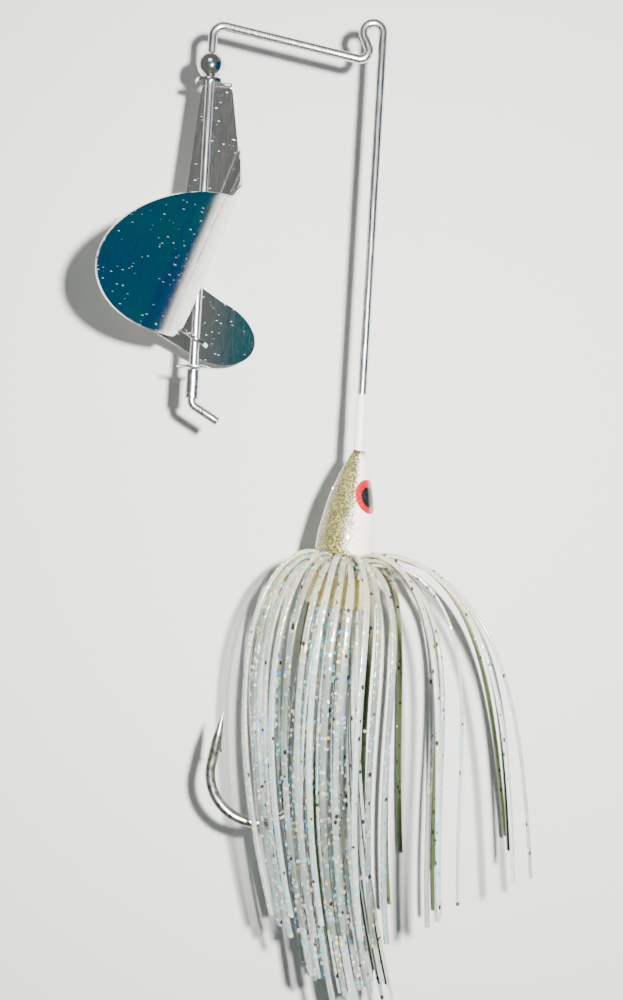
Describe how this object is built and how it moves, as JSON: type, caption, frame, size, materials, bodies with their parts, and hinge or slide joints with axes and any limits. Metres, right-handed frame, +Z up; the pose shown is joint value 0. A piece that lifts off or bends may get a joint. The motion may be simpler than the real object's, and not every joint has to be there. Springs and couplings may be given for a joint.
{
  "type": "wire bait with spinning blade",
  "caption": "Bent wire frame with a sheet-metal blade that spins on its shaft, and a weighted, skirted hook.",
  "frame": {"origin": "centre of the line-tie curl", "axes": "+Z up along the long arm, +X from the blade shaft to the hook side, +Y to the back"},
  "size_m": [0.0659, 0.0362, 0.1415],
  "materials": {
    "wire": "drawn spring wire, satin",
    "hook_steel": "black nickel, polished",
    "head_paint": "gloss paint with a glitter stripe",
    "iris_paint": "gloss, metallic red",
    "pupil_paint": "gloss black",
    "bead_metal": "polished",
    "blade_metal": "polished sheet with fine scratches",
    "rivet_metal": "satin",
    "band_rubber": "translucent amber",
    "strand_clear": "clear silicone with flakes",
    "strand_white": "pearl silicone",
    "strand_green": "green silicone with dark spots"
  },
  "bodies": {
    "frame": {"wire_form": "wire", "hook": "hook_steel", "head": "head_paint", "left_iris": "iris_paint", "right_iris": "iris_paint", "left_pupil": "pupil_paint", "right_pupil": "pupil_paint", "skirt_band": "band_rubber", "strands_left_front": "strand_clear", "strands_front_left": "strand_clear", "strands_front_right": "strand_clear", "strands_right_front": "strand_white", "strands_right": "strand_white", "strands_right_back": "strand_green", "strands_back_right": "strand_green", "strands_back": "strand_green", "strands_back_left": "strand_clear"},
    "bead": {"bead": "bead_metal"},
    "blade": {"blade": "blade_metal"},
    "rivet": {"rivet": "rivet_metal"}
  },
  "joints": [
    {"name": "bead_slide", "type": "slide", "parent": "frame", "child": "bead", "axis": [0, 0, 1], "range_m": [-0.0022, 0.0015]},
    {"name": "blade_spin", "type": "hinge", "parent": "bead", "child": "blade", "pos_m": [-0.0232, 0, -0.0272], "axis": [0, 0, 1], "continuous": true},
    {"name": "rivet_spin", "type": "hinge", "parent": "frame", "child": "rivet", "pos_m": [-0.0232, 0, -0.052], "axis": [0, 0, 1], "continuous": true}
  ]
}
